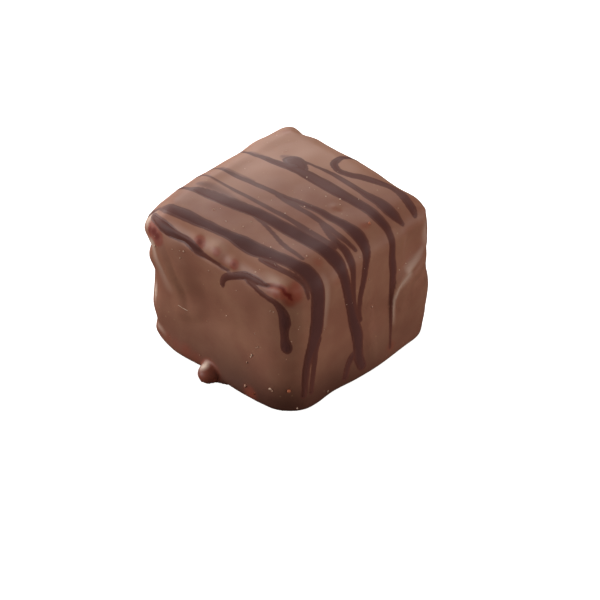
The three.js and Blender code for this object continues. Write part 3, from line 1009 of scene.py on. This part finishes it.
def crumb():
    recipe = newRecipe("crumb")
    colour = recipe.blend(recipe.attribute("toast"), crumbLook["pale"], crumbLook["toasted"])
    rough = crumbLook["rough"] + crumbLook["patches"] * recipe.noise(crumbLook["patch"], 1)
    return recipe.finish({"Base Color": colour, "Roughness": rough})


def dress(piece, material):
    piece.data.materials.clear()
    piece.data.materials.append(material)
    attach(piece, "root")


dress(coat, milkChocolate())
dress(drizzlePiece, darkChocolate())
dress(crumbPiece, crumb())
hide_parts("chocolate_cube")
print("materials on")


# floor, light and camera

studio = {
    "floorSize": 3000,
    "floorDrop": 0.01,  # keeps it clear of the underside
    "floor": tint(244, 243, 241),
    "floorRough": 0.9,
    "glow": 1,  # keeps the floor white round the piece
    "sky": 0.15,
    "ground": 0,
    "horizon": (-0.1, 0.15),  # where the one turns into the other
}


def makeFloor():
    startFresh()
    bpy.ops.mesh.primitive_plane_add(size=studio["floorSize"] * mm,
                                     location=(0, 0, -studio["floorDrop"] * mm))
    floor = bpy.context.object
    floor.name = "floor"
    paper = newRecipe("floorPaint").finish({
        "Base Color": studio["floor"],
        "Roughness": studio["floorRough"],
        "Emission Color": studio["floor"],
        "Emission Strength": studio["glow"],
    })
    floor.data.materials.append(paper)
    floor.visible_diffuse = False  # a white floor would light the sides from below
    floor.visible_glossy = False


def makeSky():
    world = bpy.data.worlds.new("studio")
    bpy.context.scene.world = world
    recipe = Recipe(world)
    climb = recipe.node("SeparateXYZ", {}, {0: recipe.node("TexCoord", {}, {}, "Generated")}, "Z")
    low, high = studio["horizon"]
    strength = recipe.node("MapRange", {}, {"Value": climb, "From Min": low, "From Max": high,
                                            "To Min": studio["ground"], "To Max": studio["sky"]})
    light = recipe.node("Background", {}, {"Strength": strength})
    recipe.node("OutputWorld", {}, {"Surface": light})


# softboxes: turn and climb in degrees as for the camera, distance, width, power,
# and whether the coat mirrors them
softboxes = {
    "left": (272, 9, 400, 250, 0.65, True),
    "back": (238, 8, 400, 200, 0.35, False),
    "window": (234, 26, 400, 160, 0.5, True),
    "top": (255, 62, 400, 220, 0.32, False),
    "front": (322, 9, 400, 200, 1.22, True),
    "lip": (316, 33, 400, 80, 0.1, True),
    "right": (134, 10, 400, 200, 0.34, True),
    "rightHigh": (95, 13, 400, 150, 0.66, False),
}


def outward(turn, climb):  # a direction, from degrees round from the front and up
    turn, climb = math.radians(turn), math.radians(climb)
    return Vector((math.sin(turn) * math.cos(climb), -math.cos(turn) * math.cos(climb), math.sin(climb)))


def makeLights():
    aim = Vector((0, 0, block["height"] / 2)) * mm
    for name, (turn, climb, distance, width, power, mirrored) in softboxes.items():
        way = outward(turn, climb)
        startFresh()
        bpy.ops.object.light_add(type="AREA", location=aim + way * distance * mm)
        lamp = bpy.context.object
        lamp.name = name
        lamp.data.shape = "SQUARE"
        lamp.data.size = width * mm
        lamp.data.energy = power
        lamp.visible_glossy = mirrored
        lamp.rotation_euler = way.to_track_quat("Z", "Y").to_euler()


view = {
    "turn": 44.5,  # degrees round from the front
    "climb": 38.0,
    "distance": 420,
    "aim": (0, 0, 10.1),
    "scale": 8.2,  # picture points a millimetre at the aim
    "picture": 600,
    "aimAt": (289.4, 265.6),  # where the aim falls in the picture
    "sensor": 36,
    "clip": 10,
}


def makeCamera():
    back = outward(view["turn"], view["climb"])
    right = outward(view["turn"] + 90, 0)
    up = back.cross(right)
    middle = view["picture"] / 2
    across = (middle - view["aimAt"][0]) / view["scale"]
    down = (middle - view["aimAt"][1]) / view["scale"]
    eye = Vector(view["aim"]) + back * view["distance"]
    target = Vector(view["aim"]) + right * across - up * down
    startFresh()
    bpy.ops.object.camera_add(location=eye * mm)
    camera = bpy.context.object
    camera.rotation_euler = (target - eye).to_track_quat("-Z", "Y").to_euler()
    camera.data.sensor_width = view["sensor"]
    camera.data.lens = view["sensor"] * view["scale"] * view["distance"] / view["picture"]
    camera.data.clip_start = view["clip"] * mm
    bpy.context.scene.camera = camera


makeFloor()
makeSky()
makeLights()
makeCamera()
bpy.context.scene.view_settings.view_transform = "Standard"
print("studio ready")
